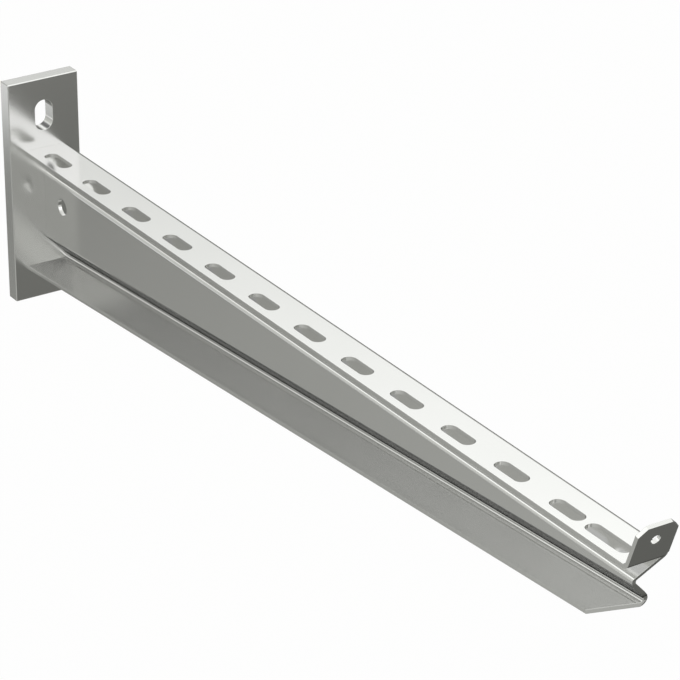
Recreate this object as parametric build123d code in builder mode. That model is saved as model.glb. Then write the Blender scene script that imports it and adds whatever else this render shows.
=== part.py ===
"""Cantilever wall bracket: a head plate and one folded, perforated sheet arm welded to it.

Frame, in millimetres: the origin is the middle of the wall face of the head plate.
+X points away from the wall along the arm, +Y towards the two back folds, +Z up.
"""
import os
from math import atan, cos, radians, sin, tan

from build123d import *

# Head plate
plate_width = 40.0
plate_height = 120.0
plate_thickness = 8.0
plate_edge_round = 0.5
wall_hole_width = 10.0
wall_hole_height = 16.4
wall_hole_below_top = 20.0

# Sheet that the arm is folded from
sheet = 2.0
fold_radius_inside = 1.0
lower_fold_radius_inside = 1.5

# Section of the arm, measured on the middle of the sheet
arm_length = 510.0
arm_below_plate_top = 37.5
top_flange_reach = 11.2
top_fold_reach = 15.1
top_knee_drop = 13.5
web_height_at_plate = 35.4
web_height_at_end = 1.3
lower_knee_drop = 15.0
lower_fold_reach = 14.6
lower_flange_reach = 12.6

# End of the arm, cut back below the tab: distances back from the tab's inner corner
top_end_setback = 1.6
knee_end_setback = 7.8
strip_end_setback = 10.1
strip_end_height = 8.7
fold_end_setback = 13.6
fold_end_height = 4.2
fold_foot_setback = 15.0
lower_edge_setback = 22.8
lower_end_sweep_angle = 20.3

# End tab, folded up from the top flange
tab_width = 20.3
tab_length = 21.5
tab_lean_angle = 20.8
tab_fold_radius_inside = 2.0
tab_corner_cut = 4.0
tab_relief_width = 1.3
tab_relief_top = 1.5
tab_relief_foot = 0.5
tab_hole_diameter = 4.8
tab_hole_below_tip = 8.3

# Slots of the top flange
slot_length = 21.0
slot_width = 7.2
slot_pitch = 40.0
first_slot_distance = 20.0
slot_row_inset = 8.0
end_slot_length = 28.0
end_slot_setback = 21.5
smallest_slot_bridge = 3.0

# Round hole of the web, beside the head plate
web_hole_diameter = 9.0
web_hole_distance = 18.2
web_hole_drop = 27.0

# Heights and angles that follow from the sizes above
top_face = plate_height / 2 - arm_below_plate_top
top_middle = -sheet / 2
top_knee = top_middle - top_knee_drop
lower_knee = top_knee - web_height_at_plate
lower_middle = lower_knee - lower_knee_drop
rise = atan((web_height_at_plate - web_height_at_end) / arm_length)
fold_radius = fold_radius_inside + sheet / 2
lower_fold_radius = lower_fold_radius_inside + sheet / 2
tab_fold_radius = tab_fold_radius_inside + sheet / 2

# The lower knee's fold takes this much of the web
lower_knee_turn = atan(lower_fold_reach / lower_knee_drop)
web_foot = lower_knee + fold_radius * tan(lower_knee_turn / 2)

# End of the arm, below the tab
lower_knee_end = lower_knee + (arm_length - knee_end_setback) * tan(rise)
lower_end = lower_middle + (arm_length - fold_foot_setback) * tan(rise)
arm_width = top_flange_reach + top_fold_reach

# The tab starts at its inner corner, arm_length from the plate and level with the top face
tab_lean = radians(tab_lean_angle)
tab_far_side = tab_width - top_flange_reach
tab_corner = sheet / 2 * tan(radians(90 - tab_lean_angle) / 2)
tab_middle_length = tab_length + tab_corner
tab_root = arm_length - top_end_setback - 2 * sheet

# Slots: one long slot at the end, and as many short ones before it as the pitch allows
slot_row = slot_row_inset - top_flange_reach
end_slot_place = arm_length - end_slot_setback
slot_space = end_slot_place - end_slot_length / 2 - smallest_slot_bridge - slot_length / 2
slot_count = int((slot_space - first_slot_distance) / slot_pitch) + 1

# Planes of the arm, each starting at the front of the head plate, level with the top face
arm_start = (plate_thickness, 0, top_face)
section_plane = Plane(origin=arm_start, x_dir=(0, 1, 0), z_dir=(1, 0, 0))
side_plane = Plane(origin=arm_start, x_dir=(1, 0, 0), z_dir=(0, -1, 0))
top_plane = Plane(origin=arm_start, x_dir=(1, 0, 0), z_dir=(0, 0, 1))

# Planes that rise with the underside of the arm
rising = (cos(rise), 0, sin(rise))
upright_to_rising = (-sin(rise), 0, cos(rise))
web_foot_plane = Plane(
    origin=(plate_thickness, 0, top_face + web_foot),
    x_dir=rising,
    z_dir=upright_to_rising,
)
lower_flange_plane = Plane(
    origin=(plate_thickness, 0, top_face + lower_middle),
    x_dir=rising,
    z_dir=upright_to_rising,
)

# Plane of the tab's inner face, at the middle of its tip
tab_tip_plane = Plane(
    origin=(
        plate_thickness + arm_length + tab_length * sin(tab_lean),
        tab_far_side - tab_width / 2,
        top_face + tab_length * cos(tab_lean),
    ),
    x_dir=(0, 1, 0),
    z_dir=(cos(tab_lean), 0, -sin(tab_lean)),
)

os.makedirs("parts", exist_ok=True)

# Head plate: flat bar with broken edges and one upright slotted hole for the wall bolt
with BuildPart() as head_plate:
    with BuildSketch(Plane.YZ):
        Rectangle(plate_width, plate_height)
    extrude(amount=plate_thickness)
    fillet(head_plate.edges(), plate_edge_round)
    with BuildSketch(Plane.YZ):
        with Locations((0, plate_height / 2 - wall_hole_below_top)):
            SlotOverall(wall_hole_height, wall_hole_width, rotation=90)
    extrude(amount=plate_thickness, mode=Mode.SUBTRACT)
head_plate.part.label = "head_plate"
export_step(head_plate.part, "parts/head_plate.step")

# Lower folds of the arm: they rise towards its end, up to the foot of the web
with BuildPart() as lower_folds:
    with BuildSketch(section_plane):
        with BuildLine():
            FilletPolyline(
                (0, lower_knee + web_height_at_plate / 2),
                (0, lower_knee),
                (lower_fold_reach, lower_middle),
                (-lower_flange_reach, lower_middle),
                radius=[fold_radius, lower_fold_radius],
            )
        trace(line_width=sheet)
    extrude(amount=arm_length / cos(rise), dir=rising)
    split(bisect_by=web_foot_plane, keep=Keep.BOTTOM)

# Arm: one sheet, with an acute fold at its back edge, two knees and a second acute fold
with BuildPart() as arm:
    # Top flange, back fold, slanted strip, upper knee and web run level along the arm
    with BuildSketch(section_plane):
        with BuildLine():
            FilletPolyline(
                (-top_flange_reach, top_middle),
                (top_fold_reach, top_middle),
                (0, top_knee),
                (0, lower_knee),
                radius=fold_radius,
            )
        trace(line_width=sheet)
    extrude(amount=arm_length)
    split(bisect_by=web_foot_plane, keep=Keep.TOP)
    add(lower_folds.part)

    # The end leans back below the top flange, in steps that follow the folds
    with BuildSketch(side_plane):
        with BuildLine():
            Polyline(
                (arm_length - top_end_setback, sheet),
                (arm_length - top_end_setback, 0),
                (arm_length - knee_end_setback, top_knee),
                (arm_length - knee_end_setback, lower_knee_end),
                (arm_length - strip_end_setback, lower_end + strip_end_height),
                (arm_length - fold_end_setback, lower_end + fold_end_height),
                (arm_length - fold_foot_setback, lower_end - sheet),
                (arm_length + sheet, lower_end - sheet),
                (arm_length + sheet, sheet),
                close=True,
            )
        make_face()
    extrude(amount=arm_width, both=True, mode=Mode.SUBTRACT)

    # The end of the lower flange slants back to its near edge
    with BuildSketch(lower_flange_plane):
        with Locations(((arm_length - lower_edge_setback) / cos(rise), -lower_flange_reach)):
            Rectangle(
                lower_edge_setback,
                2 * arm_width,
                rotation=-lower_end_sweep_angle,
                align=(Align.MIN, Align.CENTER),
            )
    extrude(amount=sheet, both=True, mode=Mode.SUBTRACT)

    # Tab at the end of the top flange, with cut corners and a small round hole
    with BuildSketch(side_plane.offset(-tab_far_side)):
        with BuildLine():
            FilletPolyline(
                (tab_root, top_middle),
                (arm_length + tab_corner, top_middle),
                (
                    arm_length + tab_corner + tab_middle_length * sin(tab_lean),
                    top_middle + tab_middle_length * cos(tab_lean),
                ),
                radius=tab_fold_radius,
            )
        trace(line_width=sheet)
    extrude(amount=tab_width)
    across_tab = arm.edges().filter_by(Axis((0, 0, 0), tab_tip_plane.z_dir))
    chamfer(across_tab.sort_by(Axis.Z)[-2:], tab_corner_cut)
    with BuildSketch(tab_tip_plane):
        with Locations((0, -tab_hole_below_tip)):
            Circle(tab_hole_diameter / 2)
    extrude(amount=sheet, mode=Mode.SUBTRACT)

    # Relief where the tab's back corner leaves the end of the flange
    with BuildSketch(section_plane.offset(arm_length - top_end_setback)):
        with BuildLine():
            Polyline(
                (tab_far_side, tab_relief_top),
                (tab_far_side - tab_relief_width, -tab_relief_foot),
                (tab_far_side - tab_relief_width, -2 * sheet),
                (tab_far_side + tab_relief_width, -2 * sheet),
                (tab_far_side + tab_relief_width, tab_relief_top),
                close=True,
            )
        make_face()
    extrude(amount=2 * tab_fold_radius, mode=Mode.SUBTRACT)

    # Slots of the top flange
    with BuildSketch(top_plane):
        for slot in range(slot_count):
            with Locations((first_slot_distance + slot * slot_pitch, slot_row)):
                SlotOverall(slot_length, slot_width)
        with Locations((end_slot_place, slot_row)):
            SlotOverall(end_slot_length, slot_width)
    extrude(amount=-sheet, mode=Mode.SUBTRACT)

    # Round hole of the web
    with BuildSketch(side_plane):
        with Locations((web_hole_distance, -web_hole_drop)):
            Circle(web_hole_diameter / 2)
    extrude(amount=sheet / 2, both=True, mode=Mode.SUBTRACT)
arm.part.label = "arm"
export_step(arm.part, "parts/arm.step")
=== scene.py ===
"""Cantilever bracket for cable tray: a folded, slotted sheet arm on a flat head plate.

Metres, in the part's frame: the wall face of the head plate is at x = 0, +X runs out
along the arm, +Y points to the folds at its back, +Z up.
"""
from collections import namedtuple
from math import atan2, cos, degrees, hypot, pi, radians, sin, tan

import bmesh
import bpy
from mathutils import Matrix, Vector
from mathutils.geometry import delaunay_2d_cdt
from mathutils.kdtree import KDTree


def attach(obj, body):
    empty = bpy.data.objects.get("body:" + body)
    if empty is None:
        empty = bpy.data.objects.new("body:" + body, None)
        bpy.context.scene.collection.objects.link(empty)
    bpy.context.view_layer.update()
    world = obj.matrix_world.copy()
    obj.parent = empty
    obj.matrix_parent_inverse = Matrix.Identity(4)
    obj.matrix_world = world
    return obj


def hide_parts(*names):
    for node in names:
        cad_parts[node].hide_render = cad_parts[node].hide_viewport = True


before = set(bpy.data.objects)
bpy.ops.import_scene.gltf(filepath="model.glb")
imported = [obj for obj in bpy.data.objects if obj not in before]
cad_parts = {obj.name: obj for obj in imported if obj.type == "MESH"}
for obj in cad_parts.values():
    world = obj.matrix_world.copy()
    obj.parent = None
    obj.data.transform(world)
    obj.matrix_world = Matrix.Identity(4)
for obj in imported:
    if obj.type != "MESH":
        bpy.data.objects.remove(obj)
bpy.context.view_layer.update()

# Camera: a long lens from the front and above, as far round as the photograph's
camera_azimuth = radians(57.4964)
camera_elevation = radians(25.6606)
camera_distance = 1.6232
camera_target = Vector((0.26638, 0.01410, 0.01389))
towards_camera = Vector((
    sin(camera_azimuth) * cos(camera_elevation),
    -cos(camera_azimuth) * cos(camera_elevation),
    sin(camera_elevation),
))
camera_data = bpy.data.cameras.new("long_lens")
camera_data.sensor_width = 36.0
camera_data.lens = 187.34
camera_data.clip_start = 0.05
camera_data.clip_end = 60.0
camera = bpy.data.objects.new("long_lens", camera_data)
camera.location = camera_target + towards_camera * camera_distance
camera.rotation_mode = "QUATERNION"
camera.rotation_quaternion = (-towards_camera).to_track_quat("-Z", "Y")
bpy.context.scene.collection.objects.link(camera)
bpy.context.scene.camera = camera


# Head plate: a short length of 8 mm flat bar with one slotted hole for the wall bolt. It is
# cut to length and punched, and coated with zinc like the arm. Its edges are rounded a
# little where the saw and the punch left them.
def steel_grain():
    """Node group of the zinc-coated, rolled steel: faint cloudiness and fine lines along the arm."""
    tree = bpy.data.node_groups.new("rolled_zinc_grain", "ShaderNodeTree")
    interface = tree.interface
    for name, kind, value in (
        ("Light tone", "NodeSocketColor", (0.7, 0.7, 0.68, 1.0)),
        ("Dark tone", "NodeSocketColor", (0.6, 0.6, 0.58, 1.0)),
        ("Cloud size", "NodeSocketFloat", 0.05),
        ("Line width", "NodeSocketFloat", 0.0006),
        ("Mean roughness", "NodeSocketFloat", 0.22),
        ("Unevenness", "NodeSocketFloat", 0.02),
    ):
        socket = interface.new_socket(name=name, in_out="INPUT", socket_type=kind)
        socket.default_value = value
    for name, kind in (
        ("Color", "NodeSocketColor"),
        ("Roughness", "NodeSocketFloat"),
        ("Height", "NodeSocketFloat"),
    ):
        interface.new_socket(name=name, in_out="OUTPUT", socket_type=kind)
    nodes, links = tree.nodes, tree.links
    group_in = nodes.new("NodeGroupInput")
    group_out = nodes.new("NodeGroupOutput")
    place = nodes.new("ShaderNodeTexCoord")

    # Clouds: how evenly the zinc ran off the steel
    cloud_scale = nodes.new("ShaderNodeMath")
    cloud_scale.operation = "DIVIDE"
    cloud_scale.inputs[0].default_value = 1.0
    links.new(group_in.outputs["Cloud size"], cloud_scale.inputs[1])
    clouds = nodes.new("ShaderNodeTexNoise")
    clouds.inputs["Detail"].default_value = 3.0
    clouds.inputs["Roughness"].default_value = 0.5
    links.new(place.outputs["Object"], clouds.inputs["Vector"])
    links.new(cloud_scale.outputs[0], clouds.inputs["Scale"])

    # Lines: left by the rolls, long along the arm and fine across it
    stretch = nodes.new("ShaderNodeMapping")
    stretch.inputs["Scale"].default_value = (0.02, 1.0, 1.0)
    links.new(place.outputs["Object"], stretch.inputs["Vector"])
    line_scale = nodes.new("ShaderNodeMath")
    line_scale.operation = "DIVIDE"
    line_scale.inputs[0].default_value = 1.0
    links.new(group_in.outputs["Line width"], line_scale.inputs[1])
    lines = nodes.new("ShaderNodeTexNoise")
    lines.inputs["Detail"].default_value = 2.0
    links.new(stretch.outputs["Vector"], lines.inputs["Vector"])
    links.new(line_scale.outputs[0], lines.inputs["Scale"])

    # Tone: inputs 6 and 7 and output 2 of a mix node are its two colours and their mix
    tone = nodes.new("ShaderNodeMix")
    tone.data_type = "RGBA"
    links.new(clouds.outputs["Fac"], tone.inputs["Factor"])
    links.new(group_in.outputs["Light tone"], tone.inputs[6])
    links.new(group_in.outputs["Dark tone"], tone.inputs[7])
    links.new(tone.outputs[2], group_out.inputs["Color"])

    # Roughness: the mean value, plus the clouds' and lines' share above or below it
    both = nodes.new("ShaderNodeMath")
    both.operation = "ADD"
    links.new(clouds.outputs["Fac"], both.inputs[0])
    links.new(lines.outputs["Fac"], both.inputs[1])
    centred = nodes.new("ShaderNodeMath")
    centred.operation = "SUBTRACT"
    centred.inputs[1].default_value = 1.0
    links.new(both.outputs[0], centred.inputs[0])
    rough = nodes.new("ShaderNodeMath")
    rough.operation = "MULTIPLY_ADD"
    links.new(centred.outputs[0], rough.inputs[0])
    links.new(group_in.outputs["Unevenness"], rough.inputs[1])
    links.new(group_in.outputs["Mean roughness"], rough.inputs[2])
    links.new(rough.outputs[0], group_out.inputs["Roughness"])
    links.new(lines.outputs["Fac"], group_out.inputs["Height"])
    return tree


def zinc_steel(name, light, dark, roughness):
    """Material of one piece: bare metal with painted shade, darker where it is seen at a flat angle.
    """
    material = bpy.data.materials.new(name)
    material.use_nodes = True
    nodes, links = material.node_tree.nodes, material.node_tree.links
    metal = nodes["Principled BSDF"]
    metal.inputs["Metallic"].default_value = 1.0
    # Painted shade: this dark grazing tint darkens metal seen at a flat angle, and so stands in for
    # the shade in the arm's grooves
    metal.inputs["Specular Tint"].default_value = (0.17, 0.17, 0.17, 1.0)
    grain = nodes.new("ShaderNodeGroup")
    grain.node_tree = rolled_grain
    grain.inputs["Light tone"].default_value = (*light, 1.0)
    grain.inputs["Dark tone"].default_value = (*dark, 1.0)
    grain.inputs["Mean roughness"].default_value = roughness
    links.new(grain.outputs["Color"], metal.inputs["Base Color"])
    links.new(grain.outputs["Roughness"], metal.inputs["Roughness"])
    bump = nodes.new("ShaderNodeBump")
    bump.inputs["Strength"].default_value = 0.01
    bump.inputs["Distance"].default_value = 0.00002
    links.new(grain.outputs["Height"], bump.inputs["Height"])
    links.new(bump.outputs["Normal"], metal.inputs["Normal"])
    return material


def true_directions(mesh, packed, reach):
    """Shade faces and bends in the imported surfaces' own directions, and rounded edges in theirs."""
    same_spot = 1e-6
    same_face = radians(0.5)
    same_bend = radians(15)
    corners = KDTree(len(packed.loops))
    for corner in packed.loops:
        corners.insert(packed.vertices[corner.vertex_index].co, corner.index)
    corners.balance()
    largest = {}
    for face in mesh.polygons:
        for vertex in face.vertices:
            if face.area > largest.get(vertex, (0.0, None))[0]:
                largest[vertex] = (face.area, face.normal)
    directions = [corner.vector.copy() for corner in mesh.corner_normals]
    exact = {}
    for vertex, (_, normal) in largest.items():
        # A corner at the same spot comes first, then one of the same face, then the nearest
        near = []
        for _, index, distance in corners.find_range(mesh.vertices[vertex].co, reach):
            turn = packed.corner_normals[index].vector.angle(normal)
            if distance < same_spot:
                near.append((-1.0, turn, index))
            elif turn < same_bend:
                near.append((0.0 if turn < same_face else distance, turn, index))
        if near:
            best = min(near)[2]
            exact[vertex] = packed.corner_normals[best].vector.copy()
    mesh.normals_split_custom_set([
        exact.get(corner.vertex_index, directions[corner.index]) for corner in mesh.loops
    ])


def finished_piece(node, name, edge_round, before_rounding=None):
    """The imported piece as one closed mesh, with rounded edges and smooth bends."""
    same_spot = 1e-6
    flat = radians(0.3)
    sharp = radians(40)
    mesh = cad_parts[node].data.copy()
    form = bmesh.new()
    form.from_mesh(mesh)
    bmesh.ops.remove_doubles(form, verts=form.verts, dist=same_spot)
    if before_rounding:
        before_rounding(form)
    bmesh.ops.dissolve_limit(form, angle_limit=flat, verts=form.verts, edges=form.edges)
    form.to_mesh(mesh)
    form.free()
    mesh.materials.clear()
    mesh.shade_smooth()
    piece = bpy.data.objects.new(name, mesh)
    bpy.context.scene.collection.objects.link(piece)
    rounding = piece.modifiers.new("broken edges", "BEVEL")
    rounding.width = edge_round
    rounding.segments = 2
    rounding.limit_method = "ANGLE"
    rounding.angle_limit = sharp
    rounding.use_clamp_overlap = False
    piece.modifiers.new("even faces", "WEIGHTED_NORMAL")
    rounded = piece.evaluated_get(bpy.context.evaluated_depsgraph_get())
    piece.data = bpy.data.meshes.new_from_object(rounded)
    piece.modifiers.clear()
    true_directions(piece.data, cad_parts[node].data, 2 * edge_round)
    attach(piece, "root")
    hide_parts(node)
    return piece


zinc_light = (0.92, 0.92, 0.91)
zinc_dark = (0.88, 0.88, 0.87)
plate_roughness = 0.18
plate_edge_round = 0.0002
rolled_grain = steel_grain()
plate_steel = zinc_steel("plate_zinc_steel", zinc_light, zinc_dark, plate_roughness)
plate = finished_piece("head_plate", "head_plate_bar", plate_edge_round)
plate.data.materials.append(plate_steel)

# Arm: one 2 mm sheet, punched flat and then folded four times and up at the end tab. Its
# end is welded to the plate's front, where no bead shows.
sheet = 0.002
arm_start = Vector((0.008, 0.0, 0.0225))
arm_length = 0.510
web_height_at_plate = 0.0354
web_height_at_end = 0.0013
underside_slope = (web_height_at_plate - web_height_at_end) / arm_length
lower_knee_height = -0.0499
strip_reach = 0.0146
strip_drop = 0.015
strip_turn = atan2(strip_reach, strip_drop)
lower_knee_radius = 0.002
lower_fold_turn = pi / 2 + strip_turn
lower_fold_radius = 0.0025

# The two bends that rise with the underside: how far across and up the section their middles
# are, their radius on the middle of the sheet, and where they start and how far they turn
Bend = namedtuple("Bend", "across up radius start turn")
lower_knee = Bend(
    across=lower_knee_radius,
    up=lower_knee_height + lower_knee_radius * tan(strip_turn / 2),
    radius=lower_knee_radius,
    start=pi,
    turn=strip_turn,
)
lower_fold = Bend(
    across=strip_reach - lower_fold_radius * tan(lower_fold_turn / 2),
    up=lower_knee_height - strip_drop + lower_fold_radius,
    radius=lower_fold_radius,
    start=-pi / 2,
    turn=lower_fold_turn,
)
bend_faces = [
    (bend, bend.radius + side * sheet / 2, side)
    for bend in (lower_knee, lower_fold)
    for side in (-1.0, 1.0)
]


def about_bend(point, bend):
    """A point's distance from the bend's middle line, its turn along the bend and the way out."""
    along, across, up = point - arm_start
    out_across = across - bend.across
    out_up = up - along * underside_slope - bend.up
    turn = (atan2(out_up, out_across) - bend.start + pi / 2) % (2 * pi) - pi / 2
    angle = bend.start + min(max(turn, 0.0), bend.turn)
    out = Vector((-underside_slope * sin(angle), cos(angle), sin(angle))).normalized()
    return hypot(out_across, out_up), turn, out


def even_rising_bends(form):
    """Lay the facets of the two bends that rise with the underside along the arm."""
    on_face = 0.00001
    past_end = radians(0.5)
    inside_rim = 1
    same_spot = 1e-7
    for bend, radius, side in bend_faces:
        turns = {}
        for vertex in form.verts:
            distance, turn, _ = about_bend(vertex.co, bend)
            if abs(distance - radius) < on_face and -past_end < turn < bend.turn + past_end:
                turns[vertex] = turn
        facets = [face for face in form.faces if all(corner in turns for corner in face.verts)]
        within = set(facets)
        rim = [edge for edge in form.edges if len(within.intersection(edge.link_faces)) == 1]
        corners = list(dict.fromkeys(corner for edge in rim for corner in edge.verts))
        order = {corner: index for index, corner in enumerate(corners)}
        sides = [tuple(order[corner] for corner in edge.verts) for edge in rim]
        # Degrees round the bend outweigh metres along it, so that the facets run along the arm
        spots = [Vector((corner.co.x, degrees(turns[corner]))) for corner in corners]
        bmesh.ops.delete(form, geom=facets, context="FACES")
        laid = delaunay_2d_cdt(spots, sides, [], inside_rim, same_spot)
        new_facets, given_spots = laid[2], laid[3]
        for facet in new_facets:
            face = form.faces.new([corners[given_spots[index][0]] for index in facet])
            face.smooth = True
            face.normal_update()
            if face.normal.dot(side * about_bend(face.calc_center_median(), bend)[2]) < 0.0:
                face.normal_flip()


def smooth_rising_bends(mesh):
    """Shade the two bends that rise with the underside straight out from their middle lines."""
    near_face = 0.00003
    same_way = radians(25)
    directions = [corner.vector.copy() for corner in mesh.corner_normals]
    for corner in mesh.loops:
        for bend, radius, side in bend_faces:
            distance, _, out = about_bend(mesh.vertices[corner.vertex_index].co, bend)
            near = abs(distance - radius) < near_face
            if near and directions[corner.index].angle(side * out) < same_way:
                directions[corner.index] = side * out
    mesh.normals_split_custom_set(directions)


sheet_roughness = 0.16
sheet_edge_round = 0.00015
sheet_steel = zinc_steel("sheet_zinc_steel", zinc_light, zinc_dark, sheet_roughness)
arm = finished_piece("arm", "folded_arm", sheet_edge_round, even_rising_bends)
smooth_rising_bends(arm.data)
arm.data.materials.append(sheet_steel)

# Floor: a wide, pale floor well below the bracket. The camera sees it white. To mirror rays it
# glows in painted greys, which the metal mirrors as the photograph's does: a painted dark grey
# spot beyond the far end of the arm, mid grey round that, and a painted white ring farther out.
floor_height = -0.42
floor_reach = 6.0
floor_whiteness = 0.95
# Painted light and shade that the floor gives off to mirror rays: the middle of its dark spot, and
# its greys by distance
floor_painted_dark_spot = (0.85, 0.40, 0.0)
floor_painted_greys = (
    (0.0, 0.175), (0.12, 0.165), (0.24, 0.14), (0.58, 0.18), (0.8, 0.5), (1.1, 0.48), (1.38, 0.4),
    (1.65, 0.375), (1.84, 0.345), (1.9, 0.3), (2.04, 0.28), (2.1, 1.0), (2.5, 1.0), (3.2, 0.5),
)


def grey_steps(ramp, steps, start, end):
    """Set a colour ramp to greys that are given with their places between start and end."""
    for _ in range(len(steps) - 2):
        ramp.elements.new(0.5)
    for element, (place, grey) in zip(ramp.elements, steps):
        element.position = (place - start) / (end - start)
        element.color = (grey, 1.01 * grey, grey * (0.93 + 0.07 * grey), 1.0)


floor_mesh = bpy.data.meshes.new("studio_floor")
floor_corners = [
    (x * floor_reach, y * floor_reach, floor_height)
    for x, y in ((-1, -1), (1, -1), (1, 1), (-1, 1))
]
floor_mesh.from_pydata(floor_corners, [], [(0, 1, 2, 3)])
floor = bpy.data.objects.new("studio_floor", floor_mesh)
bpy.context.scene.collection.objects.link(floor)
floor_paint = bpy.data.materials.new("pale_floor")
floor_paint.use_nodes = True
floor_nodes, floor_links = floor_paint.node_tree.nodes, floor_paint.node_tree.links
floor_nodes.clear()

# Its painted glow: a grey by the distance in metres from the middle of the painted dark spot
place = floor_nodes.new("ShaderNodeTexCoord")
flat_place = floor_nodes.new("ShaderNodeVectorMath")
flat_place.operation = "MULTIPLY"
flat_place.inputs[1].default_value = (1.0, 1.0, 0.0)
floor_links.new(place.outputs["Object"], flat_place.inputs[0])
way_out = floor_nodes.new("ShaderNodeVectorMath")
way_out.operation = "DISTANCE"
way_out.inputs[1].default_value = floor_painted_dark_spot
floor_links.new(flat_place.outputs["Vector"], way_out.inputs[0])
share_out = floor_nodes.new("ShaderNodeMath")
share_out.operation = "DIVIDE"
share_out.inputs[1].default_value = floor_reach
floor_links.new(way_out.outputs["Value"], share_out.inputs[0])
painted_mirror_grey = floor_nodes.new("ShaderNodeValToRGB")
grey_steps(painted_mirror_grey.color_ramp, floor_painted_greys, 0.0, floor_reach)
floor_links.new(share_out.outputs[0], painted_mirror_grey.inputs["Fac"])

# White to the camera over the pale floor with its shadow, and glowing in painted greys where it is
# mirrored
rays = floor_nodes.new("ShaderNodeLightPath")
shown = floor_nodes.new("ShaderNodeMix")
shown.data_type = "RGBA"
shown.inputs[7].default_value = (1.0, 1.0, 1.0, 1.0)
floor_links.new(rays.outputs["Is Camera Ray"], shown.inputs["Factor"])
floor_links.new(painted_mirror_grey.outputs["Color"], shown.inputs[6])
# Painted glow: the floor gives off white to the camera and the painted greys to mirror rays
backdrop_and_painted_glow = floor_nodes.new("ShaderNodeEmission")
floor_links.new(shown.outputs[2], backdrop_and_painted_glow.inputs["Color"])
pale = floor_nodes.new("ShaderNodeBsdfDiffuse")
pale.inputs["Color"].default_value = (0.8, 0.8, 0.79, 1.0)
white_share = floor_nodes.new("ShaderNodeMath")
white_share.operation = "MULTIPLY"
white_share.inputs[1].default_value = floor_whiteness
floor_links.new(rays.outputs["Is Camera Ray"], white_share.inputs[0])
seen_or_mirrored = floor_nodes.new("ShaderNodeMath")
seen_or_mirrored.operation = "MAXIMUM"
floor_links.new(white_share.outputs[0], seen_or_mirrored.inputs[0])
floor_links.new(rays.outputs["Is Glossy Ray"], seen_or_mirrored.inputs[1])
seen_at_all = floor_nodes.new("ShaderNodeMath")
seen_at_all.operation = "MAXIMUM"
floor_links.new(seen_or_mirrored.outputs[0], seen_at_all.inputs[0])
floor_links.new(rays.outputs["Is Transmission Ray"], seen_at_all.inputs[1])
floor_mix = floor_nodes.new("ShaderNodeMixShader")
floor_out = floor_nodes.new("ShaderNodeOutputMaterial")
floor_links.new(seen_at_all.outputs[0], floor_mix.inputs["Fac"])
floor_links.new(pale.outputs[0], floor_mix.inputs[1])
floor_links.new(backdrop_and_painted_glow.outputs[0], floor_mix.inputs[2])
floor_links.new(floor_mix.outputs[0], floor_out.inputs["Surface"])
floor_mesh.materials.append(floor_paint)

# Studio dome: soft white light from above about 20 degrees and grey round the sides, with a
# white card in front of it and two dark ones. The camera sees plain white in its place.
dome_greys = (
    (-1.0, 0.18), (-0.1, 0.41), (0.25, 0.43), (0.28, 0.56), (0.32, 0.8), (0.36, 0.8),
    (0.4, 0.86), (0.44, 0.91), (0.52, 0.9), (0.8, 0.7), (1.0, 0.67),
)
dome_level = 1.4
dome_lean = radians(2)

# Each card's azimuth and elevation, the two sides of its soft edge in degrees from its
# middle, and its grey
dome_cards = ((-168, 36, 8, 24.5, 0.12), (29, 23, 6, 17, 1.05), (-23, 37, 3, 9, 0.3))
world = bpy.data.worlds.new("studio_dome")
bpy.context.scene.world = world
world.use_nodes = True
sky, sky_links = world.node_tree.nodes, world.node_tree.links
sky.clear()
direction = sky.new("ShaderNodeTexCoord")


def share_towards(axis):
    """How far a direction points along the axis: 1 straight along it and -1 away from it."""
    along = sky.new("ShaderNodeVectorMath")
    along.operation = "DOT_PRODUCT"
    along.inputs[1].default_value = axis
    sky_links.new(direction.outputs["Generated"], along.inputs[0])
    return along.outputs["Value"]


def with_card(behind, azimuth, elevation, edge_inside, edge_outside, grey):
    """The dome's colour with one round, soft-edged card in front of it."""
    on_card = sky.new("ShaderNodeMapRange")
    on_card.interpolation_type = "SMOOTHSTEP"
    on_card.inputs["From Min"].default_value = cos(radians(edge_outside))
    on_card.inputs["From Max"].default_value = cos(radians(edge_inside))
    axis = (
        cos(radians(azimuth)) * cos(radians(elevation)),
        sin(radians(azimuth)) * cos(radians(elevation)),
        sin(radians(elevation)),
    )
    sky_links.new(share_towards(axis), on_card.inputs["Value"])
    card = sky.new("ShaderNodeMix")
    card.data_type = "RGBA"
    card.inputs[7].default_value = (grey, grey, grey, 1.0)
    sky_links.new(on_card.outputs["Result"], card.inputs["Factor"])
    sky_links.new(behind, card.inputs[6])
    return card.outputs[2]


share_up = sky.new("ShaderNodeMapRange")
share_up.inputs["From Min"].default_value = -1.0
share_up.inputs["From Max"].default_value = 1.0
sky_links.new(share_towards((sin(dome_lean), 0.0, cos(dome_lean))), share_up.inputs["Value"])
dome_grey = sky.new("ShaderNodeValToRGB")
grey_steps(dome_grey.color_ramp, dome_greys, -1.0, 1.0)
sky_links.new(share_up.outputs["Result"], dome_grey.inputs["Fac"])
dome_colour = dome_grey.outputs["Color"]
for card_place in dome_cards:
    dome_colour = with_card(dome_colour, *card_place)
dome = sky.new("ShaderNodeBackground")
dome.inputs["Strength"].default_value = dome_level
sky_links.new(dome_colour, dome.inputs["Color"])
blank = sky.new("ShaderNodeBackground")
blank.inputs["Color"].default_value = (1.0, 1.0, 1.0, 1.0)
sky_rays = sky.new("ShaderNodeLightPath")
sky_mix = sky.new("ShaderNodeMixShader")
sky_out = sky.new("ShaderNodeOutputWorld")
sky_links.new(sky_rays.outputs["Is Camera Ray"], sky_mix.inputs["Fac"])
sky_links.new(dome.outputs[0], sky_mix.inputs[1])
sky_links.new(blank.outputs[0], sky_mix.inputs[2])
sky_links.new(sky_mix.outputs[0], sky_out.inputs["Surface"])

bpy.context.scene.view_settings.view_transform = "Standard"
